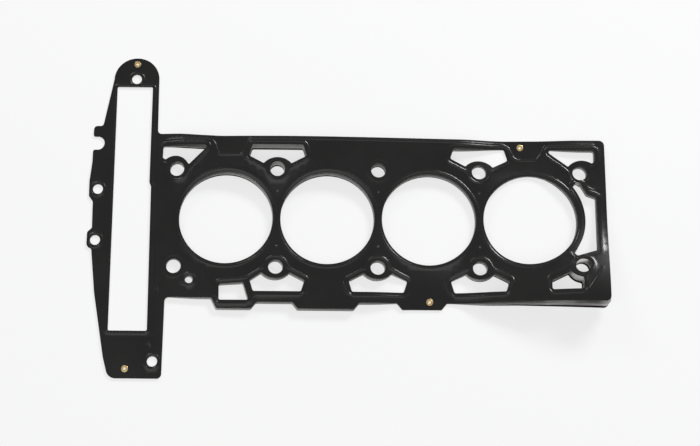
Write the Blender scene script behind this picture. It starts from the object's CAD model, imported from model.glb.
"""Looks of a multi-layer steel cylinder head gasket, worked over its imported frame.

Four stamped sheets lie on each other: a coated and beaded bottom sheet, a thin stopper sheet, a
thicker spacer sheet and a coated and beaded top sheet. Brass eyelets hold the stack, and away
from them the unbolted sheets have sprung apart.

Each sheet is a plan mesh that is raised by one height field. The plan comes from outlines made of
runs and arcs with rounded corners. The beads are level lines of distance fields, so the mesh runs
along every bead. The height field adds the spring of the sheet and the section of each bead.

Plan sizes are in millimetres, as on the drawing of the part, and meshes are in metres.
"""

import logging
import math
from dataclasses import dataclass, field
from enum import Enum
from typing import Callable, ClassVar

import bpy
import numpy as np
from mathutils import Matrix, Vector
from mathutils.geometry import delaunay_2d_cdt

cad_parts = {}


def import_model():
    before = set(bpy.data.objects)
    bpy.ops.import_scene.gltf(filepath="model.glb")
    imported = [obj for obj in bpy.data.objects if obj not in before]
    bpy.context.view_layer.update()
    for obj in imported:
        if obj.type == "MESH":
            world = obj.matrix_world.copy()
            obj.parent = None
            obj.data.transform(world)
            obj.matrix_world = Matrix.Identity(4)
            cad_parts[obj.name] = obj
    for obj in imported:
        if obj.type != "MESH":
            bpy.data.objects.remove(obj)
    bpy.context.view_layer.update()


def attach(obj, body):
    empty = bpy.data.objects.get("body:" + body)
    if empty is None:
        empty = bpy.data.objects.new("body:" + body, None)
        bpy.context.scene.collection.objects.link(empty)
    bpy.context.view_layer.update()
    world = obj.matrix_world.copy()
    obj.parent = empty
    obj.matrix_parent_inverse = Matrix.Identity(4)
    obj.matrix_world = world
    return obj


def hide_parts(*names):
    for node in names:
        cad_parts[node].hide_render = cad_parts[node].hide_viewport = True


LOG = logging.getLogger("head_gasket")
MM = 0.001
# most pairs of a place and a segment that are worked out at once
BLOCK = 2_000_000
Field = Callable[[np.ndarray], np.ndarray]


# Plane curves

@dataclass(frozen=True)
class Corner:
    """A corner of an outline.

    Args:
        x: Place along the row of bores.
        y: Place across it.
        radius: Rounding of the corner, 0 for none.
        bend: A point of the arc that leaves the corner, or None where a straight run leaves it.
    """

    x: float
    y: float
    radius: float = 0.0
    bend: tuple[float, float] | None = None


def on_circle(centre: tuple[float, float] | np.ndarray, radius: float,
              turn: np.ndarray) -> np.ndarray:
    """Points of a circle at the given angles."""
    return np.column_stack((centre[0] + radius * np.cos(turn), centre[1] + radius * np.sin(turn)))


def circle(centre: tuple[float, float], radius: float, count: int) -> np.ndarray:
    """Points of a circle, anticlockwise.

    Args:
        centre: Its middle.
        radius: Its radius.
        count: Number of points.

    Returns:
        The points, one row each.
    """
    return on_circle(centre, radius, np.linspace(0.0, 2.0 * math.pi, count, endpoint=False))


def arc_between(start: np.ndarray, finish: np.ndarray, centre: np.ndarray, sign: float,
                step: float) -> np.ndarray:
    """Points of the arc from start to finish round a centre.

    Args:
        start: First point.
        finish: Last point.
        centre: Middle of the circle.
        sign: 1 for an anticlockwise arc, -1 for a clockwise one.
        step: Longest distance between two points.

    Returns:
        The points, both ends included.
    """
    first = math.atan2(start[1] - centre[1], start[0] - centre[0])
    last = math.atan2(finish[1] - centre[1], finish[0] - centre[0])
    sweep = (sign * (last - first)) % (2.0 * math.pi)
    radius = float(np.hypot(*(start - centre)))
    count = max(3, int(math.ceil(sweep * radius / step)) + 1)
    return on_circle(centre, radius, first + sign * np.linspace(0.0, sweep, count))


def directions(line: np.ndarray) -> np.ndarray:
    """Unit direction of a line at each of its points."""
    ways = np.gradient(line, axis=0)
    return ways / np.hypot(ways[:, 0], ways[:, 1])[:, None]


def leftward(ways: np.ndarray) -> np.ndarray:
    """Directions turned a quarter to the left."""
    return np.column_stack((-ways[:, 1], ways[:, 0]))


def sampled(line: np.ndarray, along: np.ndarray, wanted: np.ndarray) -> np.ndarray:
    """Points of a line at the wanted values of a measure that grows along it."""
    return np.column_stack([np.interp(wanted, along, line[:, axis]) for axis in (0, 1)])


def evened(line: np.ndarray, step: float) -> np.ndarray:
    """The same line with its points spread evenly.

    Args:
        line: Points of a line.
        step: Distance between two points.

    Returns:
        The new points, both ends included.
    """
    length = np.hypot(*np.diff(line, axis=0).T)
    along = np.concatenate(((0.0,), np.cumsum(length)))
    count = max(2, int(round(along[-1] / step)) + 1)
    return sampled(line, along, np.linspace(0.0, along[-1], count))


class Contour:
    """A closed plane curve with straight runs, arcs and rounded corners."""

    # spacing of the fine points, and how far from its corner a rounding may start
    FINE = 0.15
    SEARCH = 45.0
    # longest step that is kept, and the largest turn between two steps, in radians
    LONGEST = 1.7
    TURN = 0.16
    # points that are closer than this are one
    SAME = 1e-6

    def __init__(self, corners: list[Corner]) -> None:
        """Work out the curve.

        Args:
            corners: Its corners in order.
        """
        self.points = self._resample(self._round(corners))

    def _run(self, corner: Corner, following: Corner) -> np.ndarray:
        """Fine points from a corner to the next one, on a line or on the arc through its bend."""
        start = np.array((corner.x, corner.y))
        finish = np.array((following.x, following.y))
        if corner.bend is None:
            count = max(3, int(np.hypot(*(finish - start)) / self.FINE))
            share = np.linspace(0.0, 1.0, count)[:, None]
            return start + (finish - start) * share
        bend = np.array(corner.bend)
        # the centre is as far from the bend as from both ends: two linear equations
        rows = 2.0 * np.array((bend - start, finish - start))
        sums = np.array((bend @ bend - start @ start, finish @ finish - start @ start))
        centre = np.linalg.solve(rows, sums)
        side = np.cross(bend - start, finish - start)
        return arc_between(start, finish, centre, math.copysign(1.0, side), self.FINE)

    def _round(self, corners: list[Corner]) -> np.ndarray:
        """Join the runs and round their corners."""
        count = len(corners)
        runs = [self._run(corners[i], corners[(i + 1) % count]) for i in range(count)]
        arcs = [np.empty((0, 2))] * count
        first = [0] * count
        last = [len(run) for run in runs]
        for i, corner in enumerate(corners):
            if corner.radius > 0.0:
                arcs[i], last[i - 1], first[i] = self._rounding(runs[i - 1], runs[i],
                                                                corner.radius)
        return np.concatenate([piece for i in range(count)
                               for piece in (arcs[i], runs[i][first[i]:last[i]])])

    def _rounding(self, before: np.ndarray, after: np.ndarray,
                  radius: float) -> tuple[np.ndarray, int, int]:
        """Round the corner between two runs.

        The arc's centre is where the two runs, each shifted sideways by the radius, cross.

        Args:
            before: Points of the run that ends at the corner.
            after: Points of the run that starts there.
            radius: Radius of the arc.

        Returns:
            The arc, where the run before ends, and where the run after starts.
        """
        reach = int(self.SEARCH / self.FINE)
        skipped = max(0, len(before) - reach)
        before = before[skipped:]
        after = after[:reach]
        way_before = directions(before)
        way_after = directions(after)
        sign = math.copysign(1.0, float(np.cross(way_before[-1], way_after[0])))
        shifted_before = before + sign * radius * leftward(way_before)
        shifted_after = after + sign * radius * leftward(way_after)
        gaps = np.hypot(shifted_before[:, None, 0] - shifted_after[None, :, 0],
                        shifted_before[:, None, 1] - shifted_after[None, :, 1])
        j, k = np.unravel_index(int(gaps.argmin()), gaps.shape)
        ways = np.column_stack((way_before[j], -way_after[k]))
        along = np.linalg.solve(ways, shifted_after[k] - shifted_before[j])
        centre = shifted_before[j] + along[0] * way_before[j]
        arc = arc_between(before[j] + along[0] * way_before[j], after[k] + along[1] * way_after[k],
                          centre, sign, self.FINE)
        return arc, skipped + int(j), int(k) + 1

    def _resample(self, points: np.ndarray) -> np.ndarray:
        """Spread points evenly by cost, where length and turning both cost.

        Args:
            points: A closed curve of fine points.

        Returns:
            The points that are kept, closed without a repeated end.
        """
        steps = np.roll(points, -1, axis=0) - points
        length = np.hypot(steps[:, 0], steps[:, 1])
        kept = length > self.SAME
        points = points[kept]
        steps = steps[kept]
        length = length[kept]
        heading = np.arctan2(steps[:, 1], steps[:, 0])
        turning = np.abs((heading - np.roll(heading, 1) + math.pi) % (2.0 * math.pi) - math.pi)
        cost = np.concatenate(((0.0,), np.cumsum(length / self.LONGEST + turning / self.TURN)))
        closed = np.concatenate((points, points[:1]))
        count = int(math.ceil(cost[-1]))
        return sampled(closed, cost, np.linspace(0.0, cost[-1], count, endpoint=False))


# Distance fields

def within(places: np.ndarray, low: np.ndarray, high: np.ndarray) -> np.ndarray:
    """Whether each place lies in a box."""
    return ((places >= low) & (places <= high)).all(axis=1)


def distance_to(places: np.ndarray, place: tuple[float, float] | np.ndarray) -> np.ndarray:
    """Distance from each place to one place."""
    return np.hypot(places[:, 0] - place[0], places[:, 1] - place[1])


def cosine_fall(share: np.ndarray, crown: float = 0.0) -> np.ndarray:
    """1 up to the crown, then falling as a cosine to 0 at a share of 1."""
    fall = np.clip((share - crown) / (1.0 - crown), 0.0, 1.0)
    return 0.5 + 0.5 * np.cos(math.pi * fall)


def segment_distance(places: np.ndarray, path: np.ndarray, closed: bool) -> np.ndarray:
    """Distance from each place to a path: the least over its segments.

    Args:
        places: Points, one row each.
        path: Points of the path.
        closed: Whether the last point joins the first.

    Returns:
        The distances.
    """
    start = path if closed else path[:-1]
    finish = np.roll(path, -1, axis=0) if closed else path[1:]
    ways = finish - start
    square = np.maximum((ways ** 2).sum(axis=1), 1e-12)
    result = np.empty(len(places))
    block = max(1, BLOCK // len(start))
    for low in range(0, len(places), block):
        part = places[low:low + block]
        offset_x = part[:, None, 0] - start[None, :, 0]
        offset_y = part[:, None, 1] - start[None, :, 1]
        share = np.clip((offset_x * ways[:, 0] + offset_y * ways[:, 1]) / square, 0.0, 1.0)
        gap_x = offset_x - share * ways[:, 0]
        gap_y = offset_y - share * ways[:, 1]
        result[low:low + block] = np.sqrt((gap_x ** 2 + gap_y ** 2).min(axis=1))
    return result


def inside(places: np.ndarray, loop: np.ndarray) -> np.ndarray:
    """Whether each place is inside a closed curve, by counting crossings to its right.

    Args:
        places: Points, one row each.
        loop: The closed curve.

    Returns:
        One truth value for each place.
    """
    result = np.zeros(len(places), bool)
    near = np.flatnonzero(within(places, loop.min(axis=0), loop.max(axis=0)))
    following = np.roll(loop, -1, axis=0)
    rise = following[:, 1] - loop[:, 1]
    slope = (following[:, 0] - loop[:, 0]) / np.where(rise == 0.0, 1.0, rise)
    block = max(1, BLOCK // len(loop))
    for at in range(0, len(near), block):
        chosen = near[at:at + block]
        x = places[chosen, 0][:, None]
        y = places[chosen, 1][:, None]
        spans = (loop[:, 1] > y) != (following[:, 1] > y)
        right = x < loop[:, 0] + (y - loop[:, 1]) * slope
        result[chosen] = (spans & right).sum(axis=1) % 2 == 1
    return result


def round_field(centre: tuple[float, float], radius: float) -> Field:
    """A field that is negative inside a circle and gives the distance to it."""
    return lambda places: distance_to(places, centre) - radius


def loop_field(loop: np.ndarray, offset: float) -> Field:
    """A field that gives the distance to the curve that runs outside a loop at an offset."""
    def distance(places: np.ndarray) -> np.ndarray:
        """Distance to the offset curve, negative inside it."""
        sign = np.where(inside(places, loop), -1.0, 1.0)
        return sign * segment_distance(places, loop, True) - offset
    return distance


def joined_field(one: Field, other: Field, blend: float) -> Field:
    """The field of two shapes grown together.

    The smaller distance counts, lowered by a parabola where both are alike within the blend.
    """
    def distance(places: np.ndarray) -> np.ndarray:
        """Distance to the outline of both shapes together."""
        first = one(places)
        second = other(places)
        alike = np.maximum(blend - np.abs(first - second), 0.0) / blend
        return np.minimum(first, second) - 0.25 * blend * alike ** 2
    return distance


def level_lines(distance: Field, low: np.ndarray, high: np.ndarray, level: float,
                cell: float = 0.7) -> list[np.ndarray]:
    """Lines on which a field has one value, traced through the cells of a grid.

    Where the field changes sign along a cell's side, the line crosses it at the linear share. Two
    crossings of a cell are joined, and the joints are then chained into lines.

    Args:
        distance: The field.
        low: Lowest corner of the grid.
        high: Highest corner of the grid.
        level: The value.
        cell: Size of a cell.

    Returns:
        The lines. A closed one repeats its first point.
    """
    xs = np.arange(low[0], high[0] + cell, cell)
    ys = np.arange(low[1], high[1] + cell, cell)
    grid_x, grid_y = np.meshgrid(xs, ys, indexing="ij")
    values = distance(np.column_stack((grid_x.ravel(), grid_y.ravel()))) - level
    values = values.reshape(grid_x.shape)
    positive = values > 0.0
    flat_ids = np.full((len(xs) - 1, len(ys)), -1)
    rows, columns = np.nonzero(positive[:-1] != positive[1:])
    share = values[rows, columns] / (values[rows, columns] - values[rows + 1, columns])
    flat_points = np.column_stack((xs[rows] + share * cell, ys[columns]))
    flat_ids[rows, columns] = np.arange(len(rows))
    upright_ids = np.full((len(xs), len(ys) - 1), -1)
    rows, columns = np.nonzero(positive[:, :-1] != positive[:, 1:])
    share = values[rows, columns] / (values[rows, columns] - values[rows, columns + 1])
    upright_points = np.column_stack((xs[rows], ys[columns] + share * cell))
    upright_ids[rows, columns] = len(flat_points) + np.arange(len(rows))
    points = np.concatenate((flat_points, upright_points))
    sides = np.stack((flat_ids[:, :-1], flat_ids[:, 1:], upright_ids[:-1], upright_ids[1:]), -1)
    crossed = sides.reshape(-1, 4)
    crossed = crossed[(crossed >= 0).sum(axis=1) == 2]
    pairs = np.sort(crossed, axis=1)[:, 2:]
    return chained(points, pairs)


def chained(points: np.ndarray, pairs: np.ndarray) -> list[np.ndarray]:
    """Chain pairs of points into lines.

    Args:
        points: All points.
        pairs: Indices of the points that are joined.

    Returns:
        The lines. A closed one repeats its first point.
    """
    partners: dict[int, list[int]] = {}
    for one, other in pairs.tolist():
        partners.setdefault(one, []).append(other)
        partners.setdefault(other, []).append(one)
    lines = []
    ends = [point for point, others in partners.items() if len(others) == 1]
    for seed in ends + list(partners):
        if not partners[seed]:
            continue
        line = [seed]
        while partners[line[-1]]:
            following = partners[line[-1]].pop()
            partners[following].remove(line[-1])
            line.append(following)
        lines.append(points[line])
    return lines


# The plan of the gasket

@dataclass(frozen=True)
class GasketPlan:
    """Outlines and openings of the sheets, in millimetres from the middle of the bolts."""

    pitch: float = 96.0
    bores: int = 4
    bore_radius: float = 44.5
    row: float = 47.25
    bolt_radius: float = 7.0
    steam_radius: float = 1.2
    steam_offset: float = 26.5
    oil_hole: tuple[float, float] = (-177.0, -60.0)
    oil_radius: float = 3.8
    back: float = 79.4
    back_left: float = 83.8
    back_bend: float = -150.0
    back_right: float = 80.8
    back_bend_right: float = 120.0
    front: float = -80.9
    front_left: float = -77.0
    front_right: float = -83.3
    front_bend: float = 132.0
    right: float = 216.4
    edge_bend_radius: float = 150.0
    tab_depth: float = 6.2
    tab_slope: float = 5.0
    tabs: tuple[tuple[float, float], ...] = ((20.5, 62.0), (-77.0, -19.5), (-153.0, -115.7))
    port_far_half: float = 24.2
    port_far: float = 23.6
    port_shoulder_half: float = 27.6
    port_shoulder: float = 12.6
    port_cusp_half: float = 13.2
    port_cusp: float = 5.2
    port_crown: float = 11.0
    front_trims: tuple[float, ...] = (3.4, 0.0, 0.0)
    chain_right: float = -199.3
    chain_right_back: float = -212.6
    chain_front: float = -154.0
    chain_hole_radius: float = 4.8
    chain_holes: tuple[tuple[float, float], ...] = (
        (-235.5, 139.9), (-267.4, 28.0), (-267.4, -22.3), (-208.3, -138.0))
    lobe_radius: float = 21.8
    eyelet_hole_radius: float = 2.0
    eyelets: tuple[tuple[str, float, float], ...] = (
        ("eyelet_chain_back", -235.5, 155.5),
        ("eyelet_chain_front", -233.3, -145.0),
        ("eyelet_deck_back", 135.8, 73.2),
        ("eyelet_deck_front", 48.5, -79.6))

    @property
    def bolt_columns(self) -> list[float]:
        """Places of the bolts along the row."""
        return [self.pitch * (index - self.bores / 2) for index in range(self.bores + 1)]

    @property
    def bore_columns(self) -> list[float]:
        """Places of the bores along the row."""
        return [column + self.pitch / 2 for column in self.bolt_columns[:-1]]

    @staticmethod
    def both_sides(columns: list[float], offset: float) -> list[tuple[float, float]]:
        """The places in front of and behind the row of bores at each column."""
        return [(column, side * offset) for column in columns for side in (-1.0, 1.0)]

    def outline(self) -> np.ndarray:
        """The outer edge, from the chain plate's round back end and clockwise."""
        lobe_x, lobe_y = self.chain_holes[0]
        tab = self.front - self.tab_depth
        half = self.tab_slope / 2
        path = [
            Corner(lobe_x - self.lobe_radius, lobe_y, 0, (lobe_x, lobe_y + self.lobe_radius)),
            Corner(lobe_x + self.lobe_radius, lobe_y),
            Corner(self.chain_right_back, self.back_left, 4.5),
            Corner(self.back_bend, self.back, self.edge_bend_radius),
            Corner(self.back_bend_right, self.back, self.edge_bend_radius),
            Corner(self.right, self.back_right, 5.0),
            Corner(self.right, self.front_right, 5.0),
            Corner(self.front_bend, self.front, self.edge_bend_radius),
        ]
        for left, right in self.tabs:
            beyond = self.front_left if left == self.tabs[-1][0] else self.front
            path.append(Corner(right + half, self.front, 2.0))
            path.append(Corner(right - half, tab, 2.0))
            path.append(Corner(left + half, tab, 2.0))
            path.append(Corner(left - half, beyond, 2.0))
        path += [
            Corner(self.chain_right, self.front_left, 4.0),
            Corner(self.chain_right, self.chain_front, 4.5),
            Corner(-248.5, self.chain_front, 9.0),
            Corner(-254.0, -134.5, 30.0),
            Corner(-265.5, -73.0, 100.0),
            Corner(-270.5, -31.0, 2.0),
            Corner(-275.3, -28.5, 5.0),
            Corner(-275.3, -14.5, 3.0),
            Corner(-271.0, -10.5, 2.0),
            Corner(-271.6, 15.5, 2.0),
            Corner(-275.6, 21.0, 4.0),
            Corner(-275.9, 36.0, 30.0),
            Corner(-274.2, 55.0, 30.0),
            Corner(-274.2, 67.5, 2.0),
            Corner(-269.0, 67.5, 0, (-263.5, 74.1)),
            Corner(-269.0, 80.7),
            Corner(-274.4, 80.7, 2.0),
            Corner(-274.4, 91.6, 3.5),
            Corner(-265.6, 91.6, 3.0),
        ]
        return Contour(path).points

    def chain_window(self) -> np.ndarray:
        """The long window of the chain, with the jog of its right side."""
        return Contour([
            Corner(-253.9, 132.0, 1.5),
            Corner(-219.6, 132.0, 1.5),
            Corner(-218.6, 35.0, 1.0),
            Corner(-216.9, 31.0, 1.0),
            Corner(-214.4, -109.2, 1.5),
            Corner(-250.8, -109.2, 1.5),
        ]).points

    def bolt_port(self, column: float, side: float, trim: float = 0.0) -> np.ndarray:
        """A coolant port wrapped round a head bolt.

        Args:
            column: Place of the bolt along the row.
            side: 1 in the back row, -1 in the front one.
            trim: How much narrower it is on its left.

        Returns:
            The points of its edge.
        """
        bolt = side * self.row
        far = bolt + side * self.port_far
        shoulder = bolt + side * self.port_shoulder
        cusp = bolt + side * self.port_cusp
        return Contour([
            Corner(column - self.port_far_half + trim, far, 2.0),
            Corner(column + self.port_far_half, far, 2.0),
            Corner(column + self.port_shoulder_half, shoulder, 2.0),
            Corner(column + self.port_cusp_half, cusp, 0.8,
                   (column, bolt + side * self.port_crown)),
            Corner(column - self.port_cusp_half, cusp, 0.8),
            Corner(column - self.port_shoulder_half + trim, shoulder, 2.0),
        ]).points

    def end_port(self, column: float, side: float, tip: float, cusp: float) -> np.ndarray:
        """A three-cornered port at the back beside an end bolt.

        Args:
            column: Place of the bolt along the row.
            side: 1 at the right end, -1 at the left one.
            tip: How far the tip reaches towards the middle of the deck.
            cusp: How far behind the bolt its lowest corner lies.

        Returns:
            The points of its edge.
        """
        far = self.row + self.port_far
        outer = column + side * 14.8
        return Contour([
            Corner(outer, far, 2.0),
            Corner(column - side * tip, far, 2.0),
            Corner(column - side * 11.0, self.row + cusp, 1.0, (column, self.row + 12.6)),
            Corner(column + side * 11.6, self.row + 10.0, 0.8),
            Corner(outer, self.row + 12.0, 1.5),
        ]).points

    def front_right_port(self) -> np.ndarray:
        """The port under the last head bolt of the front row."""
        column = self.bolt_columns[-1]
        far = -self.row - self.port_far
        return Contour([
            Corner(column - 29.5, -self.row - 12.4, 2.0),
            Corner(column - 29.5, far, 2.0),
            Corner(column, far, 2.0),
            Corner(column, -self.row - 12.0, 2.0, (column - 6.6, -self.row - 10.0)),
            Corner(column - 12.4, -self.row - 4.0, 0.8),
        ]).points

    def front_left_port(self) -> np.ndarray:
        """The small four-sided port by the first head bolt of the front row."""
        return Contour([
            Corner(-148.8, -63.8, 1.5),
            Corner(-126.0, -62.2, 1.5),
            Corner(-120.6, -79.3, 1.5),
            Corner(-148.5, -79.3, 1.5),
        ]).points

    def end_crescent(self) -> np.ndarray:
        """The water jacket port between the last bore and the right edge."""
        bore = self.bore_columns[-1]
        return Contour([
            Corner(bore + 40.6, 33.5, 1.5),
            Corner(bore + 44.5, 38.6, 2.0),
            Corner(bore + 49.5, 35.6, 1.5),
            Corner(bore + 54.5, 26.8, 2.0),
            Corner(bore + 63.0, 23.7, 1.5),
            Corner(bore + 63.4, -30.6, 2.0),
            Corner(bore + 43.0, -37.0, 2.0),
            Corner(bore + 39.6, -33.5, 1.5, (bore + 51.8, 0.0)),
        ]).points

    def wrapped_ports(self) -> list[tuple[np.ndarray, tuple[float, float]]]:
        """Each port that shares its bead with a head bolt, and that bolt's place."""
        columns = self.bolt_columns
        pairs = [(self.bolt_port(columns[index], 1.0), (columns[index], self.row))
                 for index in (1, 3)]
        for column, trim in zip(columns[1:-1], self.front_trims):
            pairs.append((self.bolt_port(column, -1.0, trim), (column, -self.row)))
        left_port = self.end_port(columns[0], -1.0, tip=30.5, cusp=3.9)
        right_port = self.end_port(columns[-1], 1.0, tip=32.5, cusp=6.4)
        pairs.append((left_port, (columns[0], self.row)))
        pairs.append((right_port, (columns[-1], self.row)))
        pairs.append((self.front_right_port(), (columns[-1], -self.row)))
        return pairs

    def openings(self) -> list[np.ndarray]:
        """Every opening of a sheet."""
        columns = self.bolt_columns
        # places of like round holes, their radius and how many points each has
        round_holes = (
            ([(column, 0.0) for column in self.bore_columns], self.bore_radius, 190),
            (self.both_sides(columns, self.row), self.bolt_radius, 44),
            (self.both_sides(columns[1:-1], self.steam_offset), self.steam_radius, 18),
            (self.chain_holes, self.chain_hole_radius, 36),
            ((self.oil_hole,), self.oil_radius, 32),
            ([(x, y) for _, x, y in self.eyelets], self.eyelet_hole_radius, 20),
        )
        loops = [circle(place, radius, count)
                 for places, radius, count in round_holes for place in places]
        loops += [port for port, _ in self.wrapped_ports()]
        loops += [self.front_left_port(), self.end_crescent(), self.chain_window()]
        return loops


# Beads

class Finishing(Enum):
    """How a sheet is finished, with the name of its material slot."""

    COATED = "coated_steel"
    BARE = "bare_steel"


@dataclass(frozen=True)
class Bead:
    """A raised line that is pressed into a sheet.

    Args:
        distance: Field that is 0 on the line.
        low: Lowest corner of the region in which the bead lies.
        high: Highest corner of that region.
        half_width: Distance from its middle to its foot.
        height: How far it stands up.
        crown: Share of the half width that is flat on top.
        path: Points of an open line, or None for the level line of the field.
    """

    distance: Field
    low: np.ndarray
    high: np.ndarray
    half_width: float
    height: float
    crown: float = 0.45
    path: np.ndarray | None = None

    # lines of the mesh along each flank
    GUIDES: ClassVar[int] = 4

    def rise(self, places: np.ndarray) -> np.ndarray:
        """Height of the bead at each place.

        It is flat over its crown and falls as a cosine of the distance to 0 at its foot.

        Args:
            places: Points, one row each.

        Returns:
            The heights, 0 away from the bead.
        """
        result = np.zeros(len(places))
        near = within(places, self.low, self.high)
        gap = np.abs(self.distance(places[near])) / self.half_width
        result[near] = self.height * cosine_fall(gap, self.crown)
        return result

    def guides(self) -> list[np.ndarray]:
        """Lines along the bead that the mesh has to follow, from foot to foot."""
        flank = np.linspace(self.crown, 1.0, self.GUIDES)
        shares = np.concatenate((-flank[::-1], flank))
        if self.path is None:
            return [line for share in shares
                    for line in level_lines(self.distance, self.low, self.high,
                                            share * self.half_width)]
        left = leftward(directions(self.path))
        return [self.path + share * self.half_width * left for share in shares]


@dataclass(frozen=True)
class BeadPattern:
    """Every bead of a coated sheet.

    An offset is the distance from an opening's edge to the middle of its bead. A margin is how
    far the region of a bead reaches beyond its line.
    """

    plan: GasketPlan
    bore_offset: float = 2.9
    port_offset: float = 3.5
    window_offset: float = 2.4
    bolt_offset: float = 3.6
    hole_offset: float = 2.2
    bore_half_width: float = 1.2
    half_width: float = 1.05
    height: float = 0.25
    faint_height: float = 0.07
    blend: float = 6.0
    margin: float = 16.0
    line_step: float = 0.8
    line_rounding: float = 3.2
    line_fade: float = 3.0
    line_margin: float = 3.0
    dimple_place: tuple[float, float] = (205.0, 37.0)
    dimple_radius: float = 1.6
    dimple_height: float = 0.3

    # points of a ring that only marks the region of a bead
    RING: ClassVar[int] = 24
    # open bead lines along the edges of the deck
    EDGE_LINES: ClassVar[tuple[tuple[tuple[float, float], ...], ...]] = (
        ((-205.5, 77.0), (-160.5, 77.0), (-156.5, 72.5), (-152.5, 61.0), (-129.5, 61.0),
         (-122.5, 77.0), (39.6, 76.6), (118.9, 76.4), (124.5, 73.5), (129.5, 62.5),
         (134.6, 60.2), (150.6, 60.3), (155.5, 66.0), (159.0, 74.5), (163.0, 76.4),
         (209.0, 76.2)),
        ((-62.6, -60.7), (-64.8, -70.0), (-68.6, -74.6)),
        ((-34.4, -59.2), (-29.5, -70.9), (-25.2, -75.1)),
        ((34.7, -58.1), (31.1, -69.2), (26.9, -74.2)),
        ((62.4, -57.5), (66.5, -69.0), (70.8, -74.2)),
        ((211.8, -47.8), (196.2, -72.0), (191.0, -76.0)),
        ((197.1, 35.6), (200.5, 31.8), (204.4, 30.4), (208.4, 31.2), (211.9, 34.2)),
        ((-154.5, -72.0), (-148.2, -81.5)),
        ((-209.6, -18.0), (-208.0, -66.0), (-204.6, -71.8)),
        ((-214.2, -115.6), (-212.8, -121.0), (-208.5, -125.0)),
    )

    def _closed(self, distance: Field, loop: np.ndarray, half_width: float | None = None,
                height: float | None = None) -> Bead:
        """A bead on a field's zero line, which lies within the margin of a loop."""
        return Bead(distance, loop.min(axis=0) - self.margin, loop.max(axis=0) + self.margin,
                    half_width or self.half_width, height or self.height)

    def _around(self, place: tuple[float, float], radius: float,
                half_width: float | None = None, height: float | None = None) -> Bead:
        """A bead in a ring."""
        return self._closed(round_field(place, radius), circle(place, radius, self.RING),
                            half_width, height)

    def _open(self, path: tuple[tuple[float, float], ...]) -> Bead:
        """A bead on an open line through the given places, with its bends rounded.

        Rounding is a moving average of the evened line, and the bead fades out at both ends.
        """
        line = evened(np.array(path), self.line_step)
        reach = int(self.line_rounding / self.line_step)
        padded = np.concatenate((
            2 * line[0] - line[1:reach + 1][::-1], line, 2 * line[-1] - line[-reach - 1:-1][::-1]))
        kernel = np.hanning(2 * reach + 3)[1:-1]
        kernel /= kernel.sum()
        smooth = np.column_stack([np.convolve(padded[:, axis], kernel, mode="valid")
                                  for axis in (0, 1)])
        ends = smooth[[0, -1]]

        def distance(places: np.ndarray) -> np.ndarray:
            """Distance to the line, grown near its ends so that the bead runs out."""
            gap = segment_distance(places, smooth, False)
            for end in ends:
                nearness = np.clip(1.0 - distance_to(places, end) / self.line_fade, 0.0, 1.0)
                gap = gap + self.half_width * nearness
            return gap

        return Bead(distance, smooth.min(axis=0) - self.line_margin,
                    smooth.max(axis=0) + self.line_margin, self.half_width, self.height,
                    path=smooth)

    def all(self) -> list[Bead]:
        """Every bead, the rings of the bores first."""
        plan = self.plan
        beads = [self._around((column, 0.0), plan.bore_radius + self.bore_offset,
                              self.bore_half_width)
                 for column in plan.bore_columns]
        bolt_reach = plan.bolt_radius + self.bolt_offset
        small_port = plan.front_left_port()
        for port, bolt in plan.wrapped_ports():
            both = joined_field(loop_field(port, self.port_offset),
                                round_field(bolt, bolt_reach), self.blend)
            region = np.concatenate((port, circle(bolt, bolt_reach, self.RING)))
            if bolt == (plan.bolt_columns[1], -plan.row):
                both = joined_field(both, loop_field(small_port, self.port_offset), self.blend)
                region = np.concatenate((region, small_port))
            beads.append(self._closed(both, region))
        for place in ((plan.bolt_columns[2], plan.row), (plan.bolt_columns[0], -plan.row)):
            beads.append(self._around(place, bolt_reach, height=self.faint_height))
        for place in plan.chain_holes:
            beads.append(self._around(place, plan.chain_hole_radius + self.hole_offset))
        beads.append(self._around(plan.oil_hole, plan.oil_radius + self.hole_offset))
        window = plan.chain_window()
        beads.append(self._closed(loop_field(window, self.window_offset), window))
        crescent = plan.end_crescent()
        beads.append(self._closed(loop_field(crescent, self.port_offset), crescent))
        beads += [self._open(line) for line in self.EDGE_LINES]
        return beads

    def dimple(self, places: np.ndarray) -> np.ndarray:
        """Height of the small round dimple by the right edge, behind the end crescent."""
        gap = distance_to(places, self.dimple_place) / self.dimple_radius
        return self.dimple_height * cosine_fall(gap)


# Spring of the unbolted sheets

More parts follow.
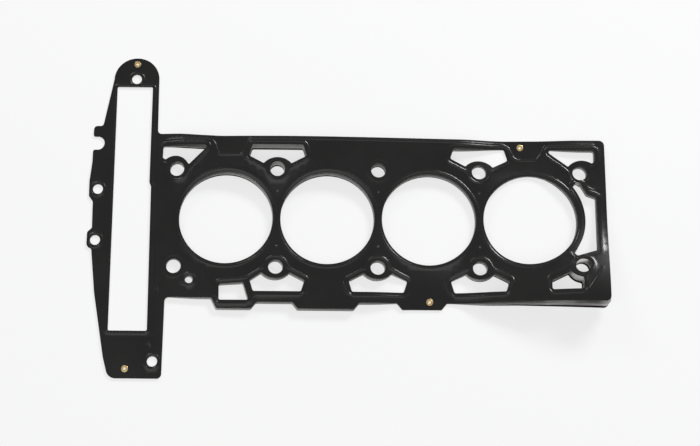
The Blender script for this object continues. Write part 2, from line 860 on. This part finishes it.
@dataclass(frozen=True)
class Spring:
    """How far a sheet stands off its tight place, in millimetres.

    Each of the three swells has a lift, a middle and its half lengths along and across the row.
    """

    holds: tuple[tuple[float, float], ...]
    deck_lift: float = 4.5
    deck_middle: tuple[float, float] = (20.0, 0.0)
    deck_reach: tuple[float, float] = (330.0, 175.0)
    deck_crown: float = 0.5
    back_lift: float = 8.0
    back_middle: tuple[float, float] = (-98.0, 75.0)
    back_reach: tuple[float, float] = (260.0, 73.0)
    corner_lift: float = 22.6
    corner_middle: tuple[float, float] = (228.0, -88.0)
    corner_reach: tuple[float, float] = (170.0, 100.0)
    hold: float = 14.0
    release: float = 60.0
    window_side: float = -222.0
    deck_rise: float = 37.0

    @staticmethod
    def swell(places: np.ndarray, middle: tuple[float, float], reach: tuple[float, float],
              crown: float = 0.0) -> np.ndarray:
        """A smooth hump: 1 over its crown, falling as a cosine to 0 at its reach.

        Args:
            places: Points, one row each.
            middle: Middle of the hump.
            reach: Its half lengths along and across the row.
            crown: Share of the reach that stays at 1.

        Returns:
            A share for each place.
        """
        distance = np.hypot((places[:, 0] - middle[0]) / reach[0],
                            (places[:, 1] - middle[1]) / reach[1])
        return cosine_fall(distance, crown)

    def freedom(self, places: np.ndarray) -> np.ndarray:
        """0 on the flat chain plate and at the deck's eyelets, 1 where a sheet is free."""
        rise = np.clip((places[:, 0] - self.window_side) / self.deck_rise, 0.0, 1.0)
        free = rise ** 2 * (3.0 - 2.0 * rise)
        for place in self.holds:
            share = (distance_to(places, place) - self.hold) / (self.release - self.hold)
            free = free * (1.0 - cosine_fall(share))
        return free

    def corner(self, places: np.ndarray) -> np.ndarray:
        """Share of the front right corner's lift at each place."""
        return self.swell(places, self.corner_middle, self.corner_reach)

    def lift(self, places: np.ndarray, deck_share: float, corner_share: float) -> np.ndarray:
        """How far a sheet is sprung up from its tight place.

        Args:
            places: Points, one row each.
            deck_share: The sheet's share of the deck's and the back edge's lift.
            corner_share: Its share of the front corner's lift.

        Returns:
            The lift at each place.
        """
        deck = self.deck_lift * self.swell(places, self.deck_middle, self.deck_reach,
                                           self.deck_crown)
        back = self.back_lift * self.swell(places, self.back_middle, self.back_reach)
        corner = self.corner_lift * self.corner(places)
        return self.freedom(places) * (deck_share * (deck + back) + corner_share * corner)


# Plan meshes

@dataclass(frozen=True)
class PlanMesh:
    """Triangles of a sheet seen from above, in millimetres."""

    places: np.ndarray
    triangles: np.ndarray

    # step along the guides of the beads, and the gap that they keep from an edge
    GUIDE_STEP: ClassVar[float] = 1.25
    GUIDE_GAP: ClassVar[float] = 0.35
    # gaps that the points of the open stretches keep from an edge and from a bead's foot
    EDGE_GAP: ClassVar[float] = 1.2
    BEAD_GAP: ClassVar[float] = 1.0
    # points that are closer than this are joined
    SAME: ClassVar[float] = 1e-4

    @classmethod
    def fill(cls, plan: GasketPlan, beads: list[Bead], spacing: float) -> "PlanMesh":
        """Triangulate the sheet along its edges and beads.

        Args:
            plan: Outlines and openings.
            beads: Beads that the triangles have to follow.
            spacing: Distance between the points of the open stretches.

        Returns:
            The plan mesh.
        """
        outline = plan.outline()
        openings = plan.openings()
        lines = [cls._ring(loop) for loop in [outline] + openings]
        lines += [cls._thread(guide, outline, openings)
                  for bead in beads for guide in bead.guides()]
        lattice = cls._lattice(outline, openings, beads, spacing)
        places = np.concatenate([points for points, _ in lines] + [lattice])
        starts = np.cumsum([0] + [len(points) for points, _ in lines])
        joints = np.concatenate([edges + start for (_, edges), start in zip(lines, starts)])
        found, _, faces, _, _, _ = delaunay_2d_cdt(
            [Vector(place) for place in places.tolist()], joints.tolist(), [], 0, cls.SAME)
        found_places = np.array([tuple(place) for place in found])
        triangles = np.array([face for face in faces if len(face) == 3])
        middles = found_places[triangles].mean(axis=1)
        inner = inside(middles, outline)
        for loop in openings:
            inner &= ~inside(middles, loop)
        used, numbers = np.unique(triangles[inner], return_inverse=True)
        return cls(found_places[used], numbers.reshape(-1, 3))

    @staticmethod
    def _ring(loop: np.ndarray) -> tuple[np.ndarray, np.ndarray]:
        """Points of a closed curve, and the pairs of them that are joined."""
        numbers = np.arange(len(loop))
        return loop, np.column_stack((numbers, np.roll(numbers, -1)))

    @classmethod
    def _thread(cls, guide: np.ndarray, outline: np.ndarray,
                openings: list[np.ndarray]) -> tuple[np.ndarray, np.ndarray]:
        """Even points of a bead's guide, and the pairs of them that are joined."""
        line = evened(guide, cls.GUIDE_STEP)
        kept = cls._clear(line, outline, openings, cls.GUIDE_GAP)
        numbers = np.cumsum(kept) - 1
        joined = kept[:-1] & kept[1:]
        return line[kept], np.column_stack((numbers[:-1][joined], numbers[1:][joined]))

    @staticmethod
    def _clear(places: np.ndarray, outline: np.ndarray, openings: list[np.ndarray],
               gap: float) -> np.ndarray:
        """Whether each place is on the sheet and at least a gap from its edges."""
        kept = inside(places, outline)
        kept[kept] = segment_distance(places[kept], outline, True) > gap
        for loop in openings:
            around = within(places, loop.min(axis=0) - gap, loop.max(axis=0) + gap)
            near = np.flatnonzero(around & kept)
            off = ~inside(places[near], loop)
            off &= segment_distance(places[near], loop, True) > gap
            kept[near] = off
        return kept

    @classmethod
    def _lattice(cls, outline: np.ndarray, openings: list[np.ndarray], beads: list[Bead],
                 spacing: float) -> np.ndarray:
        """Points of a triangular lattice on the sheet, clear of its edges and beads."""
        low = outline.min(axis=0)
        high = outline.max(axis=0)
        rows = np.arange(low[1], high[1], spacing * math.sqrt(0.75))
        columns = np.arange(low[0], high[0], spacing)
        grid_x, grid_y = np.meshgrid(columns, rows)
        grid_x[1::2] += spacing / 2
        grid = np.column_stack((grid_x.ravel(), grid_y.ravel()))
        kept = cls._clear(grid, outline, openings, cls.EDGE_GAP)
        for bead in beads:
            near = np.flatnonzero(within(grid, bead.low, bead.high) & kept)
            kept[near] = np.abs(bead.distance(grid[near])) > bead.half_width + cls.BEAD_GAP
        return grid[kept]


# Shader maths

class Socket:
    """A node's output that can be used in Python expressions."""

    def __init__(self, tree: bpy.types.NodeTree, output: bpy.types.NodeSocket) -> None:
        """Wrap an output of a node in a tree."""
        self.tree = tree
        self.output = output

    def _math(self, operation: str, *values: "Socket | float") -> "Socket":
        """A Math node over some values."""
        node = self.tree.nodes.new("ShaderNodeMath")
        node.operation = operation
        for socket, value in zip(node.inputs, values):
            feed(self.tree, socket, value)
        return Socket(self.tree, node.outputs[0])

    def __add__(self, other: "Socket | float") -> "Socket":
        """Sum."""
        return self._math("ADD", self, other)

    def __radd__(self, other: float) -> "Socket":
        """Sum with a number in front."""
        return self._math("ADD", other, self)

    def __sub__(self, other: "Socket | float") -> "Socket":
        """Difference."""
        return self._math("SUBTRACT", self, other)

    def __mul__(self, other: "Socket | float") -> "Socket":
        """Product."""
        return self._math("MULTIPLY", self, other)

    def __rmul__(self, other: float) -> "Socket":
        """Product with a number in front."""
        return self._math("MULTIPLY", other, self)


def feed(tree: bpy.types.NodeTree, socket: bpy.types.NodeSocket, value: object) -> None:
    """Link an output to an input of a node, or set the input to a plain value."""
    if isinstance(value, Socket):
        tree.links.new(value.output, socket)
    else:
        socket.default_value = value


class NodeBench:
    """A node tree that is built from expressions."""

    def __init__(self, tree: bpy.types.NodeTree) -> None:
        """Start on an emptied tree."""
        self.tree = tree
        self.tree.nodes.clear()

    def add(self, kind: str, settings: dict[str, object] | None = None,
            values: dict[str | int, object] | None = None,
            output: str | int = 0) -> Socket:
        """Add a node.

        Args:
            kind: Type of the node.
            settings: Its own settings, set before its sockets.
            values: Value or link for each named input.
            output: The output that is returned.

        Returns:
            That output.
        """
        node = self.tree.nodes.new(kind)
        for name, value in (settings or {}).items():
            setattr(node, name, value)
        for name, value in (values or {}).items():
            self.put(node.inputs[name], value)
        return Socket(self.tree, node.outputs[output])

    def put(self, socket: bpy.types.NodeSocket, value: object) -> None:
        """Set or link one input."""
        feed(self.tree, socket, value)

    def end(self, kind: str, surface: Socket) -> None:
        """Add the tree's output node and link a surface to it."""
        self.put(self.tree.nodes.new(kind).inputs["Surface"], surface)

    def window(self, value: Socket, low: float, high: float) -> Socket:
        """The value stretched so that low becomes 0 and high becomes 1, within those."""
        return self.add("ShaderNodeMapRange",
                        values={"Value": value, "From Min": low, "From Max": high},
                        output="Result")


class Finish(NodeBench):
    """A material with a Principled surface, built from expressions."""

    def __init__(self, name: str) -> None:
        """Start a material.

        Args:
            name: Name of the material.
        """
        self.material = bpy.data.materials.new(name)
        self.material.use_nodes = True
        super().__init__(self.material.node_tree)
        self.surface = self.tree.nodes.new("ShaderNodeBsdfPrincipled")
        self.end("ShaderNodeOutputMaterial", Socket(self.tree, self.surface.outputs[0]))
        self.place = self.add("ShaderNodeTexCoord", output="Object")

    def dress(self, **values: object) -> None:
        """Set or link inputs of the surface, named with underscores for spaces."""
        for name, value in values.items():
            self.put(self.surface.inputs[name.replace("_", " ")], value)

    def stretched(self, scale: tuple[float, float, float]) -> Socket:
        """Object coordinates times a scale."""
        return self.add("ShaderNodeMapping", values={"Vector": self.place, "Scale": scale},
                        output="Vector")

    def noise(self, scale: float, detail: float, roughness: float,
              at: Socket | None = None) -> Socket:
        """A noise between 0 and 1 at a scale in cells per metre."""
        return self.add("ShaderNodeTexNoise",
                        values={"Vector": at or self.place, "Scale": scale, "Detail": detail,
                                "Roughness": roughness}, output="Fac")

    def blend(self, share: Socket, low: tuple[float, ...], high: tuple[float, ...]) -> Socket:
        """A colour between two others."""
        node = self.tree.nodes.new("ShaderNodeMix")
        node.data_type = "RGBA"
        self.put(node.inputs["Factor"], share)
        # inputs 6 and 7 and output 2 are those for colours
        node.inputs[6].default_value = low
        node.inputs[7].default_value = high
        return Socket(self.tree, node.outputs[2])

    def bump(self, height: Socket, distance: float, strength: float) -> Socket:
        """A normal from a height."""
        return self.add("ShaderNodeBump", values={"Height": height, "Distance": distance,
                                                  "Strength": strength}, output="Normal")


def grey(value: float, warmth: float = 0.0) -> tuple[float, float, float, float]:
    """A colour near grey, warmer for a positive warmth."""
    return (value * (1.0 + warmth), value, value * (1.0 - warmth), 1.0)


@dataclass(frozen=True)
class Coating:
    """Black rubber coating on the outer sheets: satin, a little mottled, with a fine grain."""

    dark: float = 0.0042
    light: float = 0.0078
    roughness: float = 0.18

    def make(self) -> bpy.types.Material:
        """Build the material."""
        finish = Finish("black_coating")
        cloud = finish.noise(scale=22.0, detail=5.0, roughness=0.6)
        grain = finish.noise(scale=2600.0, detail=2.0, roughness=0.5)
        specks = finish.noise(scale=900.0, detail=3.0, roughness=0.7)
        speck = finish.window(specks, 0.66, 0.74)
        tone = finish.window(cloud * 0.8 + grain * 0.2, 0.35, 0.65)
        colour = finish.blend(tone, grey(self.dark, 0.05), grey(self.light, 0.05))
        rough = self.roughness + 0.10 * cloud - 0.05 * speck
        normal = finish.bump(grain, distance=0.00002, strength=0.35)
        finish.dress(Base_Color=colour, Roughness=rough, Normal=normal, Specular_IOR_Level=0.62)
        return finish.material


@dataclass(frozen=True)
class RolledSteel:
    """Bare cold-rolled stainless sheet: fine rolling lines along the row, faint stains."""

    dark: float = 0.66
    light: float = 0.84

    def make(self) -> bpy.types.Material:
        """Build the material."""
        finish = Finish("rolled_steel")
        lines = finish.noise(scale=1.0, detail=3.0, roughness=0.6,
                             at=finish.stretched((60.0, 4200.0, 400.0)))
        stain = finish.noise(scale=35.0, detail=5.0, roughness=0.65)
        colour = finish.blend(finish.window(lines * 0.4 + stain * 0.6, 0.35, 0.65),
                              grey(self.dark, 0.02), grey(self.light, 0.01))
        rough = 0.26 + 0.2 * lines
        finish.dress(Base_Color=colour, Metallic=1.0, Roughness=rough,
                     Normal=finish.bump(lines, distance=0.00001, strength=0.3))
        return finish.material


@dataclass(frozen=True)
class ShearedEdge:
    """The cut edge of a sheet: steel with upright shear marks, dark where the coating runs over."""

    dark: float = 0.05
    light: float = 0.30
    metal: float = 0.8

    def make(self, name: str) -> bpy.types.Material:
        """Build the material under a name."""
        finish = Finish(name)
        marks = finish.noise(scale=1.0, detail=2.0, roughness=0.6,
                             at=finish.stretched((1800.0, 1800.0, 120.0)))
        colour = finish.blend(finish.window(marks, 0.35, 0.7), grey(self.dark, 0.02),
                              grey(self.light, 0.02))
        finish.dress(Base_Color=colour, Metallic=self.metal, Roughness=0.42 + 0.15 * marks)
        return finish.material


@dataclass(frozen=True)
class Brass:
    """Brass of the eyelets: warm, slightly tarnished in spots."""

    bright: tuple[float, float, float, float] = (0.95, 0.74, 0.38, 1.0)
    dull: tuple[float, float, float, float] = (0.72, 0.50, 0.22, 1.0)

    def make(self) -> bpy.types.Material:
        """Build the material."""
        finish = Finish("brass")
        spots = finish.noise(scale=700.0, detail=4.0, roughness=0.6)
        colour = finish.blend(finish.window(spots, 0.4, 0.7), self.bright, self.dull)
        finish.dress(Base_Color=colour, Metallic=1.0, Roughness=0.24 + 0.2 * spots,
                     Normal=finish.bump(spots, distance=0.00003, strength=0.2))
        return finish.material


# Meshes

def new_piece(name: str, points: np.ndarray, faces: list[np.ndarray],
              indices: list[int], smooth: list[bool]) -> bpy.types.Object:
    """Make an object from arrays.

    Args:
        name: Name of the object.
        points: Vertices in metres.
        faces: Groups of faces with equal numbers of corners.
        indices: Material index of each group.
        smooth: Whether each group is shaded smooth.

    Returns:
        The object, linked to the scene.
    """
    mesh = bpy.data.meshes.new(name)
    counts = np.concatenate([np.full(len(group), group.shape[1]) for group in faces])
    corners = np.concatenate([group.ravel() for group in faces]).astype(np.int32)
    mesh.vertices.add(len(points))
    mesh.vertices.foreach_set("co", points.astype(np.float32).ravel())
    mesh.loops.add(len(corners))
    mesh.loops.foreach_set("vertex_index", corners)
    mesh.polygons.add(len(counts))
    starts = np.concatenate(((0,), np.cumsum(counts)[:-1])).astype(np.int32)
    mesh.polygons.foreach_set("loop_start", starts)
    materials = np.concatenate([np.full(len(group), index)
                                for group, index in zip(faces, indices)])
    shades = np.concatenate([np.full(len(group), shade) for group, shade in zip(faces, smooth)])
    mesh.polygons.foreach_set("material_index", materials.astype(np.int32))
    mesh.polygons.foreach_set("use_smooth", shades)
    mesh.update(calc_edges=True)
    mesh.validate()
    piece = bpy.data.objects.new(name, mesh)
    bpy.context.scene.collection.objects.link(piece)
    return piece


@dataclass(frozen=True)
class Sheet:
    """One stamped sheet of the stack.

    Args:
        node: Name of the piece in the frame.
        level: Height of its underside where the stack is tight.
        thickness: Its thickness.
        shares: Its shares of the deck's lift and of the corner's lift.
        bead_side: 1 for beads that stand up, -1 for beads that stand down, 0 for none.
        finishing: Coated or bare, which is also its material slot.
        drift: How far it has slid along and across the row where it is free.
        corner_drift: How much further it has slid at the lifted front right corner.
    """

    node: str
    level: float
    thickness: float
    shares: tuple[float, float]
    bead_side: float
    finishing: Finishing
    drift: tuple[float, float] = (0.0, 0.0)
    corner_drift: tuple[float, float] = (0.0, 0.0)

    DECK_START: ClassVar[float] = -199.0
    DECK_RUN: ClassVar[float] = 30.0

    def slid(self, places: np.ndarray, spring: Spring) -> np.ndarray:
        """Where the sheet's points lie in plan.

        The drift is scaled by the freedom, is 0 on the chain plate and grows over the first
        stretch of the deck, and the corner's part follows the share of the corner's lift.
        """
        deck = np.clip((places[:, 0] - self.DECK_START) / self.DECK_RUN, 0.0, 1.0)
        free = (spring.freedom(places) * deck)[:, None]
        corner = spring.corner(places)[:, None]
        return places + free * (np.array(self.drift) + corner * np.array(self.corner_drift))

    def heights(self, places: np.ndarray, spring: Spring, pattern: BeadPattern,
                beads: list[Bead]) -> np.ndarray:
        """Height of the underside: its level, its lift and the highest bead at each place."""
        height = self.level + spring.lift(places, *self.shares)
        if self.bead_side:
            raised = pattern.dimple(places)
            for bead in beads:
                raised = np.maximum(raised, bead.rise(places))
            height = height + self.bead_side * raised
        return height

    def build(self, plan_mesh: PlanMesh, spring: Spring, pattern: BeadPattern,
              beads: list[Bead], face: bpy.types.Material,
              edge: bpy.types.Material) -> bpy.types.Object:
        """Make the sheet: its two faces and the cut walls between them.

        Args:
            plan_mesh: Its triangles seen from above.
            spring: The lift of the unbolted sheets.
            pattern: The bead pattern.
            beads: Its beads.
            face: Material of both faces.
            edge: Material of the cut edges.

        Returns:
            The object.
        """
        places = plan_mesh.places
        under = self.heights(places, spring, pattern, beads)
        slid = self.slid(places, spring)
        upper = np.column_stack((slid, under + self.thickness))
        lower = np.column_stack((slid, under))
        count = len(places)
        top = plan_mesh.triangles
        bottom = top[:, ::-1] + count
        ways = np.concatenate((top[:, (0, 1)], top[:, (1, 2)], top[:, (2, 0)]))
        keys = np.sort(ways, axis=1)
        _, first, uses = np.unique(keys, axis=0, return_index=True, return_counts=True)
        rim = ways[first[uses == 1]]
        walls = np.column_stack((rim[:, 1], rim[:, 0], rim[:, 0] + count, rim[:, 1] + count))
        piece = new_piece(self.node + "_looks", np.concatenate((upper, lower)) * MM,
                          [top, bottom, walls], [0, 0, 1], [True, True, False])
        piece.data.materials.append(face)
        piece.data.materials.append(edge)
        self._crease(piece.data, rim, count)
        return piece

    @staticmethod
    def _crease(mesh: bpy.types.Mesh, rim: np.ndarray, count: int) -> None:
        """Mark the rims of both faces sharp."""
        ends = np.empty(2 * len(mesh.edges), np.int64)
        mesh.edges.foreach_get("vertices", ends)
        pairs = np.sort(ends.reshape(-1, 2), axis=1)
        scale = 4 * count
        wanted = np.sort(np.concatenate((rim, rim + count)), axis=1)
        sharp = np.isin(pairs[:, 0] * scale + pairs[:, 1], wanted[:, 0] * scale + wanted[:, 1])
        mesh.edges.foreach_set("use_edge_sharp", sharp)


@dataclass(frozen=True)
class Eyelet:
    """A tubular brass rivet with a flange rolled over each face of the stack.

    Args:
        node: Name of the piece in the frame.
        x: Place of its axis along the row of bores.
        y: Place of its axis across it.
        low: Height of the stack's lower face.
        high: Height of the stack's upper face.
        bore: Radius of its hole.
        barrel: Outer radius between the flanges.
        flange: Radius of a flange.
        thickness: Thickness of the upper flange.
        under_share: Share of that which the lower flange has.
        fullness: Power of the sine in a flange's section, less than 1 for a flatter top.
        roll_points: Points of a flange's section.
        segments: Points round the axis.
    """

    node: str
    x: float
    y: float
    low: float
    high: float
    bore: float = 1.1
    barrel: float = 1.9
    flange: float = 3.2
    thickness: float = 0.24
    under_share: float = 0.8
    fullness: float = 0.7
    roll_points: int = 13
    segments: int = 56

    def profile(self) -> np.ndarray:
        """Radius and height round the section, from the upper flange to the lower one."""
        turn = np.linspace(0.0, math.pi, self.roll_points)
        middle = (self.bore + self.flange) / 2
        half = (self.flange - self.bore) / 2
        roll = self.thickness * np.sin(turn) ** self.fullness
        top = np.column_stack((middle - half * np.cos(turn), self.high + roll))
        under = np.column_stack((middle + half * np.cos(turn), self.low - self.under_share * roll))
        barrel = np.array(((self.barrel, self.high), (self.barrel, self.low)))
        return np.concatenate((top, barrel, under))

    def build(self, brass: bpy.types.Material) -> bpy.types.Object:
        """Turn the section about the eyelet's axis.

        Args:
            brass: Its material.

        Returns:
            The object.
        """
        section = self.profile()
        turn = np.linspace(0.0, 2.0 * math.pi, self.segments, endpoint=False)
        points = np.stack((self.x + section[:, None, 0] * np.cos(turn),
                           self.y + section[:, None, 0] * np.sin(turn),
                           np.repeat(section[:, 1:2], self.segments, axis=1)), -1)
        rows, columns = np.meshgrid(np.arange(len(section)), np.arange(self.segments),
                                    indexing="ij")
        row_after = (rows + 1) % len(section)
        column_after = (columns + 1) % self.segments
        quads = np.stack((rows * self.segments + columns,
                          row_after * self.segments + columns,
                          row_after * self.segments + column_after,
                          rows * self.segments + column_after), -1).reshape(-1, 4)
        piece = new_piece(self.node + "_looks", points.reshape(-1, 3) * MM, [quads], [0], [True])
        piece.data.materials.append(brass)
        return piece


@dataclass
class Gasket:
    """The whole stack of sheets and eyelets.

    A sheet's shares say how much of the deck's lift and of the front corner's lift it takes. A
    spacing is the distance between the points of a plan mesh on its open stretches.
    """

    plan: GasketPlan = field(default_factory=GasketPlan)
    coated: float = 0.25
    stopper: float = 0.2
    spacer: float = 0.4
    clearance: float = 0.05
    bead: float = 0.25
    stopper_shares: tuple[float, float] = (0.35, 0.34)
    spacer_shares: tuple[float, float] = (0.41, 0.64)
    drift: tuple[float, float] = (-0.9, -1.4)
    corner_drift: tuple[float, float] = (0.0, 1.6)
    top_drift: tuple[float, float] = (0.0, -0.3)
    top_corner_drift: tuple[float, float] = (-2.2, 1.6)
    beaded_spacing: float = 5.0
    plain_spacing: float = 7.0

    def sheets(self) -> list[Sheet]:
        """The four sheets from the bottom up."""
        bottom = self.bead
        stopper = bottom + self.coated + self.clearance
        spacer = stopper + self.stopper + self.clearance
        top = spacer + self.spacer + self.clearance
        return [
            Sheet("bottom_sheet", bottom, self.coated, (0.0, 0.0), -1.0, Finishing.COATED,
                  self.drift, self.corner_drift),
            Sheet("stopper_sheet", stopper, self.stopper, self.stopper_shares, 0.0,
                  Finishing.BARE, self.drift, self.corner_drift),
            Sheet("spacer_sheet", spacer, self.spacer, self.spacer_shares, 0.0,
                  Finishing.BARE, self.drift, self.corner_drift),
            Sheet("top_sheet", top, self.coated, (1.0, 1.0), 1.0, Finishing.COATED,
                  self.top_drift, self.top_corner_drift),
        ]

    def build(self) -> None:
        """Make every piece, put it in its node's place and on the part's one body."""
        pattern = BeadPattern(self.plan)
        beads = pattern.all()
        spring = Spring(tuple((x, y) for name, x, y in self.plan.eyelets if "deck" in name))
        beaded = PlanMesh.fill(self.plan, beads, self.beaded_spacing)
        plain = PlanMesh.fill(self.plan, [], self.plain_spacing)
        LOG.info("plan meshes: %d and %d triangles", len(beaded.triangles), len(plain.triangles))
        coating = Coating().make()
        steel = RolledSteel().make()
        coated_edge = ShearedEdge().make("coated_edge")
        bare_edge = ShearedEdge(dark=0.55, light=0.9, metal=1.0).make("bare_edge")
        # plan mesh, beads, and materials of the faces and the cut edges
        made = {
            Finishing.COATED: (beaded, beads, coating, coated_edge),
            Finishing.BARE: (plain, [], steel, bare_edge),
        }
        sheets = self.sheets()
        for sheet in sheets:
            plan_mesh, its_beads, face, edge = made[sheet.finishing]
            piece = sheet.build(plan_mesh, spring, pattern, its_beads, face, edge)
            self.seat(piece, sheet.node, sheet.finishing.value)
        brass = Brass().make()
        top = sheets[-1].level + sheets[-1].thickness
        for name, x, y in self.plan.eyelets:
            piece = Eyelet(name, x, y, sheets[0].level, top).build(brass)
            self.seat(piece, name, "brass")

    @staticmethod
    def seat(piece: bpy.types.Object, node: str, slot: str) -> None:
        """Put a piece in its node's place and report it."""
        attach(piece, "root")
        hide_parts(node)
        LOG.info("%s: %d faces", piece.name, len(piece.data.polygons))


# Studio

@dataclass(frozen=True)
class PhotoCamera:
    """The photograph's viewpoint, looking down on the part as it lies.

    Args:
        tilt: How far the view leans from straight down, in degrees.
        yaw: Turn about the vertical, in degrees.
        roll: Turn about the view axis, in degrees.
        shift: Place of the part's origin right of, above and before the camera, in metres.
        focal: Focal length in pixels of the photograph.
        width: Width of the photograph in pixels.
    """

    tilt: float = 15.76
    yaw: float = -0.482
    roll: float = -0.076
    shift: tuple[float, float, float] = (0.02672, 0.00258, -1.42354)
    focal: float = 1500.0
    width: int = 700

    def build(self) -> None:
        """Make the camera and set it as the scene's."""
        turned = (Matrix.Rotation(math.radians(self.roll), 3, "Z")
                  @ Matrix.Rotation(-math.radians(self.tilt), 3, "X")
                  @ Matrix.Rotation(math.radians(self.yaw), 3, "Z"))
        back = turned.transposed()
        place = -(back @ Vector(self.shift))
        data = bpy.data.cameras.new("photo_camera")
        data.sensor_fit = "HORIZONTAL"
        data.sensor_width = 36.0
        data.lens = self.focal * data.sensor_width / self.width
        data.clip_start = 0.05
        data.clip_end = 20.0
        camera = bpy.data.objects.new("photo_camera", data)
        camera.matrix_world = Matrix.Translation(place) @ back.to_4x4()
        bpy.context.scene.collection.objects.link(camera)
        bpy.context.scene.camera = camera


@dataclass(frozen=True)
class SoftBox:
    """A large soft lamp aimed at a point of the part."""

    name: str
    place: tuple[float, float, float]
    size: tuple[float, float]
    power: float
    aim: tuple[float, float, float] = (0.0, 0.0, 0.0)

    def build(self) -> None:
        """Make the lamp."""
        data = bpy.data.lights.new(self.name, "AREA")
        data.shape = "RECTANGLE"
        data.size, data.size_y = self.size
        data.energy = self.power
        lamp = bpy.data.objects.new(self.name, data)
        lamp.location = self.place
        way = Vector(self.aim) - Vector(self.place)
        lamp.rotation_euler = way.to_track_quat("-Z", "Y").to_euler()
        bpy.context.scene.collection.objects.link(lamp)


@dataclass(frozen=True)
class Studio:
    """The pale floor, the soft lamps and the plain world."""

    floor_colour: tuple[float, float, float, float] = (0.93, 0.935, 0.94, 1.0)
    white: tuple[float, float, float, float] = (1.0, 1.0, 1.0, 1.0)
    glow: float = 0.68
    surround: float = 0.29
    drop: float = 0.00003

    def sky(self) -> bpy.types.World:
        """An even white surround, so that no slope of a sheet shines more than another."""
        world = bpy.data.worlds.new("studio_surround")
        world.use_nodes = True
        bench = NodeBench(world.node_tree)
        light = bench.add("ShaderNodeBackground",
                          values={"Color": self.white, "Strength": self.surround})
        bench.end("ShaderNodeOutputWorld", light)
        return world

    def floor_finish(self) -> bpy.types.Material:
        """A matt pale surface, part of whose paleness is its own where it is seen.

        Rays from the camera, a reflection or a clear piece see a mix of a white glow and the lit
        surface. The lit share keeps the part's shadow.
        """
        material = bpy.data.materials.new("pale_floor")
        material.use_nodes = True
        bench = NodeBench(material.node_tree)
        camera, glossy, through = (
            bench.add("ShaderNodeLightPath", output=name)
            for name in ("Is Camera Ray", "Is Glossy Ray", "Is Transmission Ray"))
        lit = bench.add("ShaderNodeBsdfDiffuse", values={"Color": self.floor_colour})
        white = bench.add("ShaderNodeEmission", values={"Color": self.white, "Strength": 1.0})
        surface = bench.add("ShaderNodeMixShader", values={
            0: (camera + glossy + through) * self.glow, 1: lit, 2: white})
        bench.end("ShaderNodeOutputMaterial", surface)
        return material

    def build(self) -> None:
        """Make floor, lamps and world."""
        half = 6.0
        corners = np.array(((-half, -half), (half, -half), (half, half), (-half, half)))
        points = np.column_stack((corners, np.full(4, -self.drop)))
        floor = new_piece("floor", points, [np.array([[0, 1, 2, 3]])], [0], [False])
        floor.data.materials.append(self.floor_finish())
        bpy.context.scene.world = self.sky()
        for lamp in (
            SoftBox("back_right_box", (1.457, 2.228, 1.38), (1.1, 0.55), 68.0),
            SoftBox("back_left_box", (-1.442, 2.312, 1.255), (1.1, 0.5), 15.0),
            SoftBox("front_box", (-0.25, -1.1, 2.0), (3.0, 2.0), 15.0),
        ):
            lamp.build()
        bpy.context.scene.view_settings.view_transform = "Standard"


def main() -> None:
    """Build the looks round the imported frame."""
    logging.basicConfig(level=logging.INFO, format="%(name)s: %(message)s")
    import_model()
    Gasket().build()
    Studio().build()
    PhotoCamera().build()


if __name__ == "__main__":
    main()
